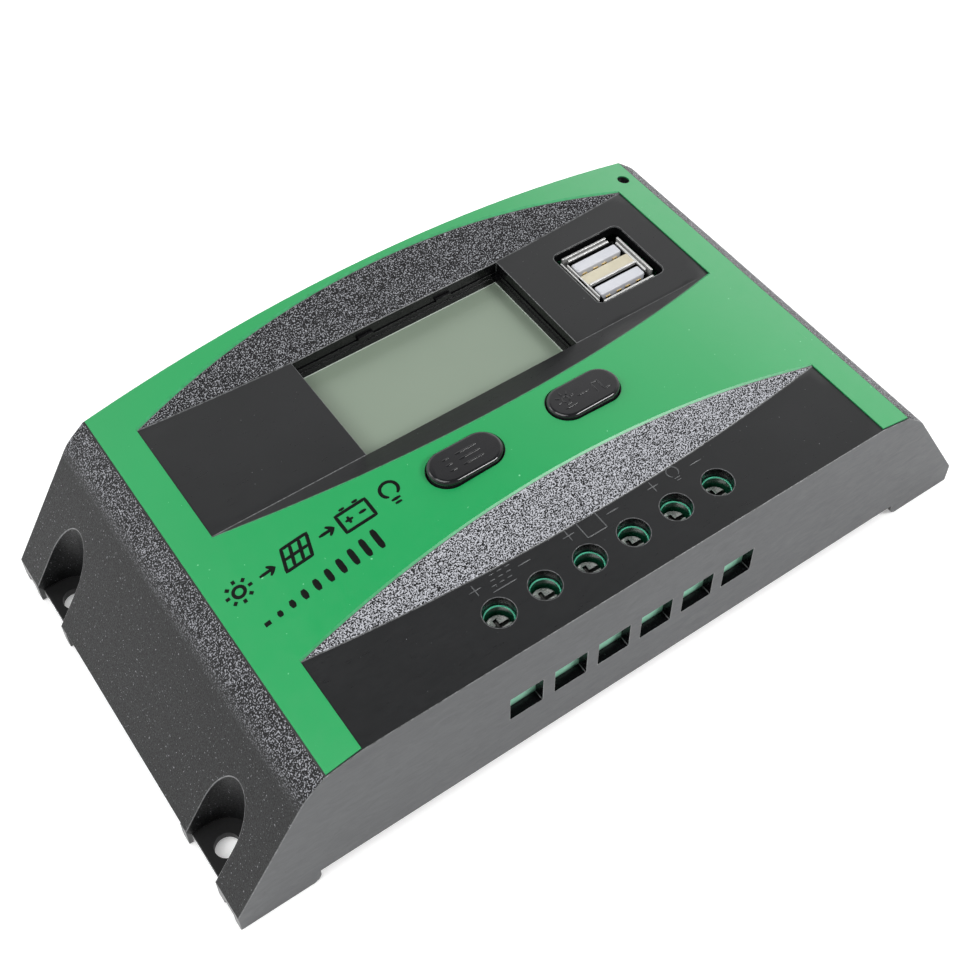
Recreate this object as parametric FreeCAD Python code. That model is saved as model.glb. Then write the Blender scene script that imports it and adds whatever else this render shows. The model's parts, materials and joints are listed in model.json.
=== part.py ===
import FreeCAD, Part
"""PWM solar charge controller, built as the separate pieces of the real device.

Frame: millimetres, +Z up, +X to the right along the housing, +Y to the back.
The origin is the middle of the footprint, at the level of the four foot edges,
so the wire entries face -Y and the crowned face looks along +Z.
"""
import os

V = FreeCAD.Vector

# ---- housing -------------------------------------------------------------
LENGTH = 150.0            # over the vertical lips at the two ends
DEPTH = 79.4              # front wall to back wall
WALL = 2.0
CROWN_Z = 36.8            # moulded face at the middle of the length
EDGE_X, EDGE_Z = 57.3, 30.15         # where the crowned face ends
SHOULDER_X, SHOULDER_Z = 61.0, 27.0  # foot of the narrow bevel beside the face
SHOULDER_R = 10.0
LIP_H = 4.2
PLATE_BOTTOM, PLATE_TOP = 1.2, 2.7
PLATE_GAP = 0.1
LIP_T = 0.85              # lip left outside the base plate
FRONT_NOTCH_X, FRONT_NOTCH_Z = 60.6, 2.9
SIDE_NOTCH_Z = 4.3
FOOT_W, FOOT_R = 2.0, 1.8
ROOF_IN = 29.55           # underside of the two sunken panels

# ---- mounting scoops at the four corners ----------------------------------
SCOOP_X, SCOOP_Y, SCOOP_R = 70.8, 27.7, 4.8
HOLE_X, HOLE_Y, HOLE_R = 70.5, 27.7, 2.1

# ---- sunken panels of the face --------------------------------------------
PANEL_Z = 31.55
PANEL_X = 51.0
TERM_END_Y, TERM_MID_Y, TERM_SLOPE = -22.3, -25.5, 1.40
INSERT_FRONT_Y, INSERT_FRONT_SLOPE = 5.25, 1.48
INSERT_END_Y, INSERT_MID_Y, INSERT_BACK_SLOPE = 31.5, 29.5, 1.62
FILM_T = 0.25             # printed face film
FILM_X, FILM_Y = 57.0, 39.4

# ---- display window and twin charging socket -------------------------------
LCD_X0, LCD_X1, LCD_Y0, LCD_Y1 = -22.2, 21.0, 5.25, 29.75
LCD_Z = 27.0
USB_X, USB_Y, USB_W, USB_D = 37.55, 17.7, 15.0, 14.7
USB_SHELL_X, USB_SHELL_Y0, USB_SHELL_Y1, USB_TOP = 13.1, 11.2, 24.4, 30.5
TONGUE_Y = (13.9, 20.9)   # middle of each contact tongue
LED_X, LED_Y, LED_HOLE_R = 54.3, 34.5, 1.05

# ---- two press buttons ------------------------------------------------------
BUTTON_X, BUTTON_Y, BUTTON_L, BUTTON_W = 11.8, -8.3, 13.5, 6.9
BUTTON_GAP = 0.15
BUTTON_TOP = 37.7
FLANGE_Z0, FLANGE_Z1 = 32.5, 33.6
STEM_END = 26.1

# ---- six-way terminal block --------------------------------------------------
WAYS, PITCH, TERM_X = 6, 8.65, -0.25
SCREW_Y, ACCESS_R = -32.1, 2.65
ENTRY_W, ENTRY_Z0, ENTRY_Z1 = 6.3, 13.05, 19.2
BLOCK_ENTRY_Z0 = 14.7     # sill of the block's own entry, above the cover's
BLOCK_Y0, BLOCK_Y1, BLOCK_TOP = -37.6, -24.4, 29.5
CAVITY_W, CAVITY_Y0, CAVITY_Y1 = 7.3, -36.6, -26.4
CAVITY_Z0, CAVITY_Z1 = 10.4, 23.9
HEAD_R, HEAD_Z0, HEAD_Z1 = 2.2, 25.95, 27.65
SHANK_R, SHANK_END = 1.45, 20.2
CAGE_W, CAGE_Y0, CAGE_Y1, CAGE_Z0, CAGE_Z1 = 6.6, -35.8, -28.4, 11.8, 21.8
BAR_W, BAR_Z0, BAR_Z1 = 4.6, 19.3, 20.1

# ---- circuit boards -----------------------------------------------------------
BOARD_T = 1.6
MAIN_Z = 6.0
MAIN_X, MAIN_Y0, MAIN_Y1 = 58.0, -36.8, 36.6
MAIN_POSTS = [(-52.0, -31.0), (52.0, -31.0), (-52.0, 31.0), (52.0, 31.0)]
DISP_Z = 17.4
DISP_X0, DISP_X1, DISP_Y0, DISP_Y1 = -32.5, 58.0, -14.0, 36.8
DISP_POSTS = [(-29.0, 33.0), (-29.0, -0.8), (27.4, 33.5), (50.5, 3.0)]
COVER_POSTS = [(-66.5, -12.0), (66.5, -12.0), (-66.5, 12.0), (66.5, 12.0)]


# ---- small helpers --------------------------------------------------------------
def box(x0, x1, y0, y1, z0, z1):
    return Part.makeBox(x1 - x0, y1 - y0, z1 - z0, V(x0, y0, z0))


def rod(x, y, z0, z1, r):
    return Part.makeCylinder(r, z1 - z0, V(x, y, z0))


def rounded_box(x0, x1, y0, y1, z0, z1, r):
    """Upright block with rounded vertical edges."""
    solid = box(x0, x1, y0, y1, z0, z1)
    upright = [e for e in solid.Edges
               if abs(e.Vertexes[0].Point.z - e.Vertexes[1].Point.z) > 0.5 * (z1 - z0)]
    return solid.makeFillet(r, upright)


def stadium(cx, cy, length, width, z0, z1):
    """Upright prism with straight long sides and half-round ends along X."""
    r, h = width / 2, length / 2 - width / 2
    body = box(cx - h, cx + h, cy - r, cy + r, z0, z1)
    return body.fuse([rod(cx - h, cy, z0, z1, r), rod(cx + h, cy, z0, z1, r)]).removeSplitter()


def fuse_all(shapes):
    if len(shapes) == 1:
        return shapes[0]
    return shapes[0].fuse(shapes[1:]).removeSplitter()


def group(solids):
    return Part.makeCompound(solids)


def way_x(i):
    return TERM_X + (i - (WAYS - 1) / 2) * PITCH


def crown_radius():
    rise = CROWN_Z - EDGE_Z
    return (EDGE_X ** 2 + rise ** 2) / (2 * rise)


def profile(points, arch_mid, y0, y1):
    """Prism along Y from a left half outline, mirrored, closed by an arc on top."""
    left = [V(-x, y0, z) for x, z in points]
    right = [V(x, y0, z) for x, z in reversed(points)]
    top_l, top_r = left[-1], right[0]
    edges = [Part.makeLine(a, b) for a, b in zip(left, left[1:])]
    edges.append(Part.Arc(top_l, V(0, y0, arch_mid), top_r).toShape())
    edges += [Part.makeLine(a, b) for a, b in zip(right, right[1:])]
    edges.append(Part.makeLine(right[-1], left[0]))
    return Part.Face(Part.Wire(edges)).extrude(V(0, y1 - y0, 0))


# ---- housing ----------------------------------------------------------------------
def outer_body():
    points = [(LENGTH / 2, 0), (LENGTH / 2, LIP_H), (SHOULDER_X, SHOULDER_Z), (EDGE_X, EDGE_Z)]
    body = profile(points, CROWN_Z, -DEPTH / 2, DEPTH / 2)
    soft = [e for e in body.Edges
            if all(abs(abs(v.Point.x) - SHOULDER_X) < 0.01 and abs(v.Point.z - SHOULDER_Z) < 0.01
                   for v in e.Vertexes)]
    return body.makeFillet(SHOULDER_R, soft)


def panel_cut(front_y, front_slope, end_y, mid_y, back_slope):
    """Sunken panel: flat floor, sloping front and back facets, bowed back edge."""
    h = 8.0

    def outline(z, front, back):
        a, b = V(-PANEL_X, front, z), V(PANEL_X, front, z)
        c, d = V(PANEL_X, end_y + back, z), V(-PANEL_X, end_y + back, z)
        bow = Part.Arc(c, V(0, mid_y + back, z), d).toShape()
        return Part.Wire([Part.makeLine(a, b), Part.makeLine(b, c), bow, Part.makeLine(d, a)])

    low = outline(PANEL_Z, front_y, 0.0)
    high = outline(PANEL_Z + h, front_y - front_slope * h, back_slope * h)
    return Part.makeLoft([low, high], True, True)


def terminal_panel():
    return panel_cut(-DEPTH / 2 - 10, 0.0, TERM_END_Y, TERM_MID_Y, TERM_SLOPE)


def display_panel():
    return panel_cut(INSERT_FRONT_Y, INSERT_FRONT_SLOPE, INSERT_END_Y, INSERT_MID_Y,
                     INSERT_BACK_SLOPE)


def scoop(sx, sy, r, z0, z1):
    x, y = sx * SCOOP_X, sy * SCOOP_Y
    out = sx * (LENGTH / 2 + 5)
    arm = box(min(x, out), max(x, out), y - r, y + r, z0, z1)
    return arm.fuse(rod(x, y, z0, z1, r))


def corners():
    return [(sx, sy) for sx in (-1, 1) for sy in (-1, 1)]


def cavity():
    """Hollow of the cover, with thick walls kept around the scoops and panels."""
    points = [(73.2, PLATE_TOP - 1), (73.2, 3.3), (59.5, 25.6), (56.2, 28.4)]
    full = profile(points, CROWN_Z - WALL, -DEPTH / 2 + WALL, DEPTH / 2 - WALL)
    low = full.common(box(-80, 80, -50, 50, 0, ROOF_IN))
    raised = full.common(box(-50, 50, -16.0, -3.6, ROOF_IN - 1, 40))
    hollow = low.fuse(raised)
    walls = [scoop(sx, sy, SCOOP_R + WALL, -1, 40) for sx, sy in corners()]
    return hollow.cut(fuse_all(walls))


def cover_posts():
    posts = [rod(x, y, PLATE_TOP, 14.0, 3.2) for x, y in COVER_POSTS]
    posts += [rod(x, y, DISP_Z + BOARD_T, ROOF_IN + 0.5, 2.4) for x, y in DISP_POSTS]
    return posts


def post_holes():
    holes = [rod(x, y, 0, 11.0, 1.3) for x, y in COVER_POSTS]
    holes += [rod(x, y, DISP_Z, 27.0, 1.0) for x, y in DISP_POSTS]
    return holes


def foot_round(sx):
    """Cutter that rounds the inner lower corner of the front and back feet."""
    r, x = FOOT_R, FRONT_NOTCH_X
    x0, x1 = sorted((sx * x, sx * (x + r)))
    roll = Part.makeCylinder(r, DEPTH + 10, V(sx * (x + r), -DEPTH / 2 - 5, r), V(0, 1, 0))
    return box(x0, x1, -DEPTH / 2 - 5, DEPTH / 2 + 5, -2, r).cut(roll)


def bottom_notches():
    """Raised bottom edges between the feet, on all four sides."""
    big = DEPTH / 2 + 5
    front = box(-FRONT_NOTCH_X, FRONT_NOTCH_X, -big, big, -2, FRONT_NOTCH_Z)
    inner = SCOOP_Y - SCOOP_R - FOOT_W
    mid = box(-80, 80, -inner, inner, -2, SIDE_NOTCH_Z)
    y0, y1 = SCOOP_Y + SCOOP_R + FOOT_W, DEPTH / 2 - FOOT_W
    ends = [box(-80, 80, sy * y0 if sy > 0 else -y1, y1 if sy > 0 else -y0, -2, 2.0)
            for sy in (-1, 1)]
    return [front, mid] + ends + [foot_round(sx) for sx in (-1, 1)]


def top_cover():
    body = outer_body()
    tools = [cavity(), terminal_panel(), display_panel()]
    rx, ry = LENGTH / 2 - LIP_T, DEPTH / 2 - LIP_T
    tools.append(box(-rx, rx, -ry, ry, -1, PLATE_TOP))
    tools += [scoop(sx, sy, SCOOP_R, -1, 40) for sx, sy in corners()]
    tools += bottom_notches()
    body = body.cut(tools)
    collar = box(LCD_X0 - 1.6, LCD_X1 + 1.6, LCD_Y0 - 1.6, LCD_Y1 + 1.6, LCD_Z, ROOF_IN + 0.5)
    inside = outer_body().common(fuse_all(cover_posts()))
    body = body.fuse([collar, inside])
    holes = post_holes()
    holes.append(box(LCD_X0, LCD_X1, LCD_Y0, LCD_Y1, LCD_Z - 1, 40))
    holes.append(rounded_box(USB_X - USB_W / 2, USB_X + USB_W / 2, USB_Y - USB_D / 2,
                             USB_Y + USB_D / 2, 28, 40, 1.3))
    for i in range(WAYS):
        holes.append(rod(way_x(i), SCREW_Y, 28, 40, ACCESS_R))
        holes.append(box(way_x(i) - ENTRY_W / 2, way_x(i) + ENTRY_W / 2, -45, -DEPTH / 2 + WALL + 0.5,
                         ENTRY_Z0, ENTRY_Z1))
    for sx in (-1, 1):
        holes.append(stadium(sx * BUTTON_X, BUTTON_Y, BUTTON_L + 2 * BUTTON_GAP,
                             BUTTON_W + 2 * BUTTON_GAP, 30, 40))
    holes.append(rod(LED_X, LED_Y, 24, 40, LED_HOLE_R))
    return body.cut(holes).removeSplitter()


def face_film():
    """Thin printed film on the crown, cut out around panels, buttons and LED."""
    r = crown_radius()
    axis = V(0, -FILM_Y, CROWN_Z - r)
    rim = Part.makeCylinder(r + FILM_T, 2 * FILM_Y, axis, V(0, 1, 0))
    core = Part.makeCylinder(r, 2 * FILM_Y, axis, V(0, 1, 0))
    film = rim.cut(core).common(box(-FILM_X, FILM_X, -FILM_Y, FILM_Y, 25, 45))
    tools = [terminal_panel(), display_panel(), rod(LED_X, LED_Y, 25, 45, LED_HOLE_R + 0.15)]
    for sx in (-1, 1):
        tools.append(stadium(sx * BUTTON_X, BUTTON_Y, BUTTON_L + 0.6, BUTTON_W + 0.6, 30, 45))
    return film.cut(tools)


def base_plate():
    x, y = LENGTH / 2 - LIP_T - PLATE_GAP, DEPTH / 2 - LIP_T - PLATE_GAP
    plate = rounded_box(-x, x, -y, y, PLATE_BOTTOM, PLATE_TOP, 1.0)
    posts = [rod(px, py, PLATE_TOP, MAIN_Z, 3.2) for px, py in MAIN_POSTS]
    body = plate.fuse(posts)
    holes = [rod(sx * HOLE_X, sy * HOLE_Y, 0, 4, HOLE_R) for sx, sy in corners()]
    holes += [rod(px, py, 0, 4, 1.6) for px, py in COVER_POSTS]
    holes += [rod(px, py, PLATE_BOTTOM + 0.6, MAIN_Z + 1, 1.2) for px, py in MAIN_POSTS]
    return body.cut(holes)


def pan_screw(x, y, seat, end, shank_r, head_r, head_h):
    """Cross-recess pan screw; the head sits on `seat` and the shank runs to `end`."""
    down = end < seat
    head = rod(x, y, seat, seat + head_h, head_r) if down else rod(x, y, seat - head_h, seat, head_r)
    shank = rod(x, y, min(seat, end), max(seat, end), shank_r)
    top = seat + head_h if down else seat - head_h
    z0, z1 = (top - 0.6, top + 1) if down else (top - 1, top + 0.6)
    w, t = head_r * 0.6, 0.28
    cross = box(x - w, x + w, y - t, y + t, z0, z1).fuse(box(x - t, x + t, y - w, y + w, z0, z1))
    return head.fuse(shank).cut(cross)


def cover_screws():
    return group([pan_screw(x, y, PLATE_BOTTOM, 9.5, 1.3, 2.8, 1.0) for x, y in COVER_POSTS])


# ---- boards ---------------------------------------------------------------------------
def main_board():
    board = rounded_box(-MAIN_X, MAIN_X, MAIN_Y0, MAIN_Y1, MAIN_Z, MAIN_Z + BOARD_T, 2.0)
    holes = [rod(x, y, 5, 9, 1.5) for x, y in MAIN_POSTS]
    for i in range(WAYS):
        x = way_x(i)
        holes.append(box(x - BAR_W / 2 - 0.1, x + BAR_W / 2 + 0.1, -27.4, -26.4, 5, 9))
    return board.cut(holes)


def main_board_screws():
    seat = MAIN_Z + BOARD_T
    return group([pan_screw(x, y, seat, 2.4, 1.2, 2.6, 1.5) for x, y in MAIN_POSTS])


def display_board():
    board = rounded_box(DISP_X0, DISP_X1, DISP_Y0, DISP_Y1, DISP_Z, DISP_Z + BOARD_T, 2.0)
    return board.cut([rod(x, y, 16, 20, 1.3) for x, y in DISP_POSTS])


def display_board_screws():
    return group([pan_screw(x, y, DISP_Z, 24.0, 1.0, 2.2, 1.3) for x, y in DISP_POSTS])


# ---- display ------------------------------------------------------------------------------
def lcd_glass():
    """Two glass plates with the lower one longer, for its contact ledge."""
    upper = box(LCD_X0 - 1.8, LCD_X1 + 1.8, LCD_Y0 - 1.4, LCD_Y1 + 1.8, 25.7, LCD_Z)
    lower = box(LCD_X0 - 1.8, LCD_X1 + 1.8, LCD_Y0 - 3.0, LCD_Y1 + 1.8, 24.5, 25.7)
    return upper.fuse(lower)


def lcd_backlight():
    """White light guide frame standing on the display board."""
    z0, z1 = DISP_Z + BOARD_T, 24.5
    body = box(LCD_X0 - 1.8, LCD_X1 + 1.8, LCD_Y0 - 1.0, LCD_Y1 + 1.8, z0, z1)
    hollow = box(LCD_X0 + 1.0, LCD_X1 - 1.0, LCD_Y0 + 1.0, LCD_Y1 - 1.0, z0 - 1, z1 - 2.0)
    return body.cut(hollow)


def lcd_pins():
    y = LCD_Y0 - 2.2
    pins = [box(x - 0.2, x + 0.2, y - 0.15, y + 0.15, DISP_Z - 0.8, 24.5)
            for x in [LCD_X0 + 2 + 2.54 * k for k in range(16)]]
    return group(pins)


def display_board_pin_holes():
    y = LCD_Y0 - 2.2
    return [box(x - 0.3, x + 0.3, y - 0.25, y + 0.25, 16, 20)
            for x in [LCD_X0 + 2 + 2.54 * k for k in range(16)]]


# ---- twin charging socket --------------------------------------------------------------------
def usb_shell():
    """Folded metal can, open upward over both ports."""
    x0, x1 = USB_X - USB_SHELL_X / 2, USB_X + USB_SHELL_X / 2
    z0 = DISP_Z + BOARD_T
    can = rounded_box(x0, x1, USB_SHELL_Y0, USB_SHELL_Y1, z0, USB_TOP, 0.5)
    inner = box(x0 + 0.35, x1 - 0.35, USB_SHELL_Y0 + 0.35, USB_SHELL_Y1 - 0.35, z0 + 1.0, 40)
    bridge = box(x0 + 0.3, x1 - 0.3, 16.05, 16.4, z0 + 0.5, USB_TOP)
    return can.cut(inner).fuse(bridge).removeSplitter()


def usb_spacer():
    x0, x1 = USB_X - 5.7, USB_X + 5.7
    return box(x0, x1, 16.4, 18.9, DISP_Z + BOARD_T + 1.0, USB_TOP - 0.3)


def usb_tongues():
    solids = []
    for y in TONGUE_Y:
        tongue = box(USB_X - 5.0, USB_X + 5.0, y - 0.9, y + 0.9, DISP_Z + BOARD_T + 1.0, 30.2)
        top = [e for e in tongue.Edges if all(v.Point.z > 30.1 for v in e.Vertexes)]
        solids.append(tongue.makeChamfer(0.45, top))
    return group(solids)


def usb_contacts():
    solids = []
    for y in TONGUE_Y:
        for x in (-3.5, -1.0, 1.0, 3.5):
            solids.append(box(USB_X + x - 0.5, USB_X + x + 0.5, y - 1.1, y - 0.9, 20.5, 29.3))
    return group(solids)


# ---- buttons ------------------------------------------------------------------------------------
def button_cap(sx):
    """Domed oval cap with a retaining flange and a stem reaching the switch."""
    x = sx * BUTTON_X
    head = stadium(x, BUTTON_Y, BUTTON_L, BUTTON_W, FLANGE_Z1 - 0.5, BUTTON_TOP)
    rim = [e for e in head.Edges if all(v.Point.z > BUTTON_TOP - 0.01 for v in e.Vertexes)]
    head = head.makeFillet(0.6, rim)
    flange = stadium(x, BUTTON_Y, BUTTON_L + 1.6, BUTTON_W + 1.6, FLANGE_Z0, FLANGE_Z1)
    return head.fuse([flange, rod(x, BUTTON_Y, STEM_END, FLANGE_Z0, 2.0)]).removeSplitter()


def switch_body(sx):
    x, z0 = sx * BUTTON_X, DISP_Z + BOARD_T
    body = box(x - 3, x + 3, BUTTON_Y - 3, BUTTON_Y + 3, z0, z0 + 3.6)
    body = body.cut(rod(x, BUTTON_Y, z0 + 1.2, z0 + 5, 1.8))
    return body


def switch_plunger(sx):
    x, z0 = sx * BUTTON_X, DISP_Z + BOARD_T
    return rod(x, BUTTON_Y, z0 + 1.9, STEM_END - 0.1, 1.72)


def status_led():
    z0 = DISP_Z + BOARD_T
    lamp = rod(LED_X, LED_Y, z0, z0 + 4, 1.5)
    return lamp.fuse(rod(LED_X, LED_Y, z0 + 4, 29.8, 0.95)).removeSplitter()


# ---- terminal block ----------------------------------------------------------------------------------
def terminal_block():
    half = WAYS * PITCH / 2 + 0.8
    body = box(TERM_X - half, TERM_X + half, BLOCK_Y0, BLOCK_Y1, MAIN_Z + BOARD_T, BLOCK_TOP)
    tools = []
    for i in range(WAYS):
        x = way_x(i)
        w, b = CAVITY_W / 2, BAR_W / 2 + 0.1
        tools.append(box(x - w, x + w, CAVITY_Y0, CAVITY_Y1, CAVITY_Z0, CAVITY_Z1))
        tools.append(box(x - ENTRY_W / 2, x + ENTRY_W / 2, -40, CAVITY_Y0 + 1, BLOCK_ENTRY_Z0,
                         ENTRY_Z1))
        tools.append(box(x - b, x + b, -27.4, CAVITY_Y1, 5, CAVITY_Z0 + 1))
        tools.append(rod(x, SCREW_Y, HEAD_Z0 - 0.05, 35, 2.5))
        tools.append(rod(x, SCREW_Y, CAVITY_Z1 - 1, HEAD_Z0, 1.75))
    return body.cut(tools)


def terminal_screw(i):
    """Captive clamp screw with a combined slot and cross drive."""
    x = way_x(i)
    head = rod(x, SCREW_Y, HEAD_Z0, HEAD_Z1, HEAD_R)
    rim = [e for e in head.Edges if all(v.Point.z > HEAD_Z1 - 0.01 for v in e.Vertexes)]
    head = head.makeFillet(0.35, rim)
    slot = box(x - 3, x + 3, SCREW_Y - 0.35, SCREW_Y + 0.35, HEAD_Z1 - 0.8, HEAD_Z1 + 1)
    cross = box(x - 0.35, x + 0.35, SCREW_Y - 1.4, SCREW_Y + 1.4, HEAD_Z1 - 0.8, HEAD_Z1 + 1)
    return head.fuse(rod(x, SCREW_Y, SHANK_END, HEAD_Z0, SHANK_R)).cut([slot, cross])


def clamp_cage(i):
    """Rising clamp: a steel frame around the current bar, threaded on the screw."""
    x, w = way_x(i), CAGE_W / 2
    frame = box(x - w, x + w, CAGE_Y0, CAGE_Y1, CAGE_Z0, CAGE_Z1)
    window = box(x - w + 0.8, x + w - 0.8, CAGE_Y0 - 1, CAGE_Y1 + 1, CAGE_Z0 + 0.8, BAR_Z1 + 0.1)
    return frame.cut([window, rod(x, SCREW_Y, CAGE_Z0 + 3, CAGE_Z1 + 1, SHANK_R + 0.07)])


def current_bars():
    bars = []
    for i in range(WAYS):
        x, w = way_x(i), BAR_W / 2
        tongue = box(x - w, x + w, -36.0, -26.5, BAR_Z0, BAR_Z1)
        leg = box(x - w, x + w, -27.3, -26.5, 4.6, BAR_Z1)
        bars.append(tongue.fuse(leg).removeSplitter())
    return group(bars)


# ---- power parts on the main board ------------------------------------------------------------------------
MOS_X = (-31.0, -13.0, 13.0, 31.0)
SINK_Y0, SINK_Y1 = -19.4, -17.4


def heat_spreader():
    """Aluminium wall behind the terminal block, with short fins to the rear."""
    z0 = MAIN_Z + BOARD_T
    plate = box(-40, 40, SINK_Y0, SINK_Y1, z0, 26.0)
    foot = box(-40, 40, SINK_Y0, SINK_Y1 + 5, z0, z0 + 1.6)
    fins = [box(-40 + k * 8 - 0.5, -40 + k * 8 + 0.5, SINK_Y1 - 0.5, SINK_Y1 + 2.2, z0 + 1, 24.0)
            for k in range(1, 10)]
    return fuse_all([plate, foot] + fins)


def insulating_pads():
    return group([box(x - 5.5, x + 5.5, SINK_Y0 - 0.3, SINK_Y0, 10.5, 25.0) for x in MOS_X])


def mosfets():
    solids = []
    y1 = SINK_Y0 - 0.3
    for x in MOS_X:
        tab = box(x - 5, x + 5, y1 - 1.2, y1, 11.0, 24.5)
        body = box(x - 5, x + 5, y1 - 4.2, y1 - 0.6, 11.0, 19.8)
        legs = [box(x + d - 0.35, x + d + 0.35, y1 - 2.6, y1 - 2.1, MAIN_Z + BOARD_T, 11.5)
                for d in (-2.54, 0, 2.54)]
        solids.append(fuse_all([tab, body] + legs))
    return group(solids)


def capacitors():
    z0 = MAIN_Z + BOARD_T
    solids = []
    for y in (-8.0, 6.5, 21.0):
        can = rod(-45.0, y, z0, 27.6, 6.25)
        rim = [e for e in can.Edges if all(v.Point.z > 27.5 for v in e.Vertexes)]
        solids.append(can.makeFillet(0.6, rim))
    return group(solids)


def fuse_holder():
    z0 = MAIN_Z + BOARD_T
    base = box(34, 50, -11.5, -5.5, z0, z0 + 3.0)
    return base.cut(box(35.5, 48.5, -10.2, -6.8, z0 + 1.0, z0 + 5))


def blade_fuse():
    z0 = MAIN_Z + BOARD_T + 1.0
    cap = box(37, 47, -10.0, -7.0, z0 + 3.2, z0 + 7.4)
    blades = [box(x - 1.2, x + 1.2, -8.8, -8.2, z0, z0 + 3.5) for x in (38.6, 45.4)]
    return fuse_all([cap] + blades)


def current_shunts():
    z0 = MAIN_Z + BOARD_T
    solids = []
    for y in (-9.0, -5.5, -2.0):
        bridge = box(-22, -10, y - 0.6, y + 0.6, z0 + 2.4, z0 + 3.4)
        legs = [box(x, x + 1.0, y - 0.6, y + 0.6, z0, z0 + 3.4) for x in (-22, -11)]
        solids.append(fuse_all([bridge] + legs))
    return group(solids)


def inductor():
    z0 = MAIN_Z + BOARD_T
    body = rounded_box(24, 36, 8, 20, z0, z0 + 6.5, 2.0)
    return body.cut(rod(30, 14, z0 + 5.9, z0 + 8, 3.8))


def microcontroller():
    z0 = MAIN_Z + BOARD_T
    body = box(-5, 5, 8, 18, z0 + 0.1, z0 + 1.6)
    legs = []
    for k in range(11):
        s = -4.0 + 0.8 * k
        legs.append(box(s - 0.15, s + 0.15, 7, 19, z0, z0 + 0.5))
        legs.append(box(-6, 6, 13 + s - 0.15, 13 + s + 0.15, z0, z0 + 0.5))
    return fuse_all([body] + legs)


def driver_chips():
    z0 = MAIN_Z + BOARD_T
    return group([box(x, x + 5, y, y + 4, z0, z0 + 1.5)
                  for x, y in ((-20, 22), (-20, 8), (12, 24), (14, -6))])


def small_capacitors():
    z0 = MAIN_Z + BOARD_T
    return group([rod(x, y, z0, z0 + 7.5, 3.2) for x, y in ((44, 10), (44, 20), (22, 30))])


def power_diode():
    z0 = MAIN_Z + BOARD_T
    return fuse_all([box(2, 9, -7.5, -1.5, z0 + 0.2, z0 + 2.6), box(0.8, 10.2, -6, -3, z0, z0 + 0.8)])


def board_header():
    z0 = MAIN_Z + BOARD_T
    body = box(-27, -11.5, 30.5, 35.5, z0, z0 + 8.4)
    return body.cut([rod(-25.5 + 2.54 * k, 33, z0 - 1, DISP_Z + 2, 0.45) for k in range(6)])


def header_pins():
    return group([rod(-25.5 + 2.54 * k, 33, MAIN_Z + BOARD_T, DISP_Z, 0.4) for k in range(6)])


def header_pin_holes():
    return [rod(-25.5 + 2.54 * k, 33, 16, 20, 0.5) for k in range(6)]


def board_connector():
    return box(-26.4, -11.9, 30.8, 35.2, DISP_Z - 1.2, DISP_Z)


# ---- all nodes -------------------------------------------------------------------------------------------------
def all_nodes():
    display = display_board().cut(display_board_pin_holes())
    connector = board_connector().cut(header_pin_holes())
    nodes = {
        "top_cover": top_cover(),
        "face_film": face_film(),
        "base_plate": base_plate(),
        "cover_screws": cover_screws(),
        "main_board": main_board(),
        "main_board_screws": main_board_screws(),
        "display_board": display,
        "display_board_screws": display_board_screws(),
        "lcd_glass": lcd_glass(),
        "lcd_backlight": lcd_backlight(),
        "lcd_pins": lcd_pins(),
        "usb_shell": usb_shell(),
        "usb_spacer": usb_spacer(),
        "usb_tongues": usb_tongues(),
        "usb_contacts": usb_contacts(),
        "button_menu": button_cap(-1),
        "button_load": button_cap(1),
        "switch_menu_body": switch_body(-1),
        "switch_load_body": switch_body(1),
        "switch_menu_plunger": switch_plunger(-1),
        "switch_load_plunger": switch_plunger(1),
        "status_led": status_led(),
        "terminal_block": terminal_block(),
        "current_bars": current_bars(),
        "heat_spreader": heat_spreader(),
        "insulating_pads": insulating_pads(),
        "mosfets": mosfets(),
        "capacitors": capacitors(),
        "small_capacitors": small_capacitors(),
        "fuse_holder": fuse_holder(),
        "blade_fuse": blade_fuse(),
        "current_shunts": current_shunts(),
        "inductor": inductor(),
        "microcontroller": microcontroller(),
        "driver_chips": driver_chips(),
        "power_diode": power_diode(),
        "board_header": board_header(),
        "header_pins": header_pins(),
        "board_connector": connector,
    }
    for i in range(WAYS):
        nodes["terminal_screw_%d" % (i + 1)] = terminal_screw(i)
        nodes["clamp_cage_%d" % (i + 1)] = clamp_cage(i)
    return nodes


def main():
    os.makedirs("parts", exist_ok=True)
    for name, shape in all_nodes().items():
        shape.exportStep("parts/%s.step" % name)


main()
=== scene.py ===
import json
import math

import bmesh
import bpy
from mathutils import Euler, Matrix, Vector


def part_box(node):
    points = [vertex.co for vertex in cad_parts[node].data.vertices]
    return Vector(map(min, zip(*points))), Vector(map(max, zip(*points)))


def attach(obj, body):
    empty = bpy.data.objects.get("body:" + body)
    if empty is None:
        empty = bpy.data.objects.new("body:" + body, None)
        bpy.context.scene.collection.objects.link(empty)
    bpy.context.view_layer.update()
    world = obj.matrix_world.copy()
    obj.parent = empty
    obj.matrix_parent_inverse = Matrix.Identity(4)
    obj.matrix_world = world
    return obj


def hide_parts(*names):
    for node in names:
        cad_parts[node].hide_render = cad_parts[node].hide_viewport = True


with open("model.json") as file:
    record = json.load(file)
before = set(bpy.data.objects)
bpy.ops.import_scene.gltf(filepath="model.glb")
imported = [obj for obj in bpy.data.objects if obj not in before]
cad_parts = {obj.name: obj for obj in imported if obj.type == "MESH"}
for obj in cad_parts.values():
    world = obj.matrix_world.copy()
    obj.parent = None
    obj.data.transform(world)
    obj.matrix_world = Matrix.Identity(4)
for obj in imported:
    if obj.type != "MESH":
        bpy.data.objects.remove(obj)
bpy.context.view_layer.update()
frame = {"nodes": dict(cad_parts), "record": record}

MM = 0.001
scene = bpy.context.scene
nodes = frame["nodes"]

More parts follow.
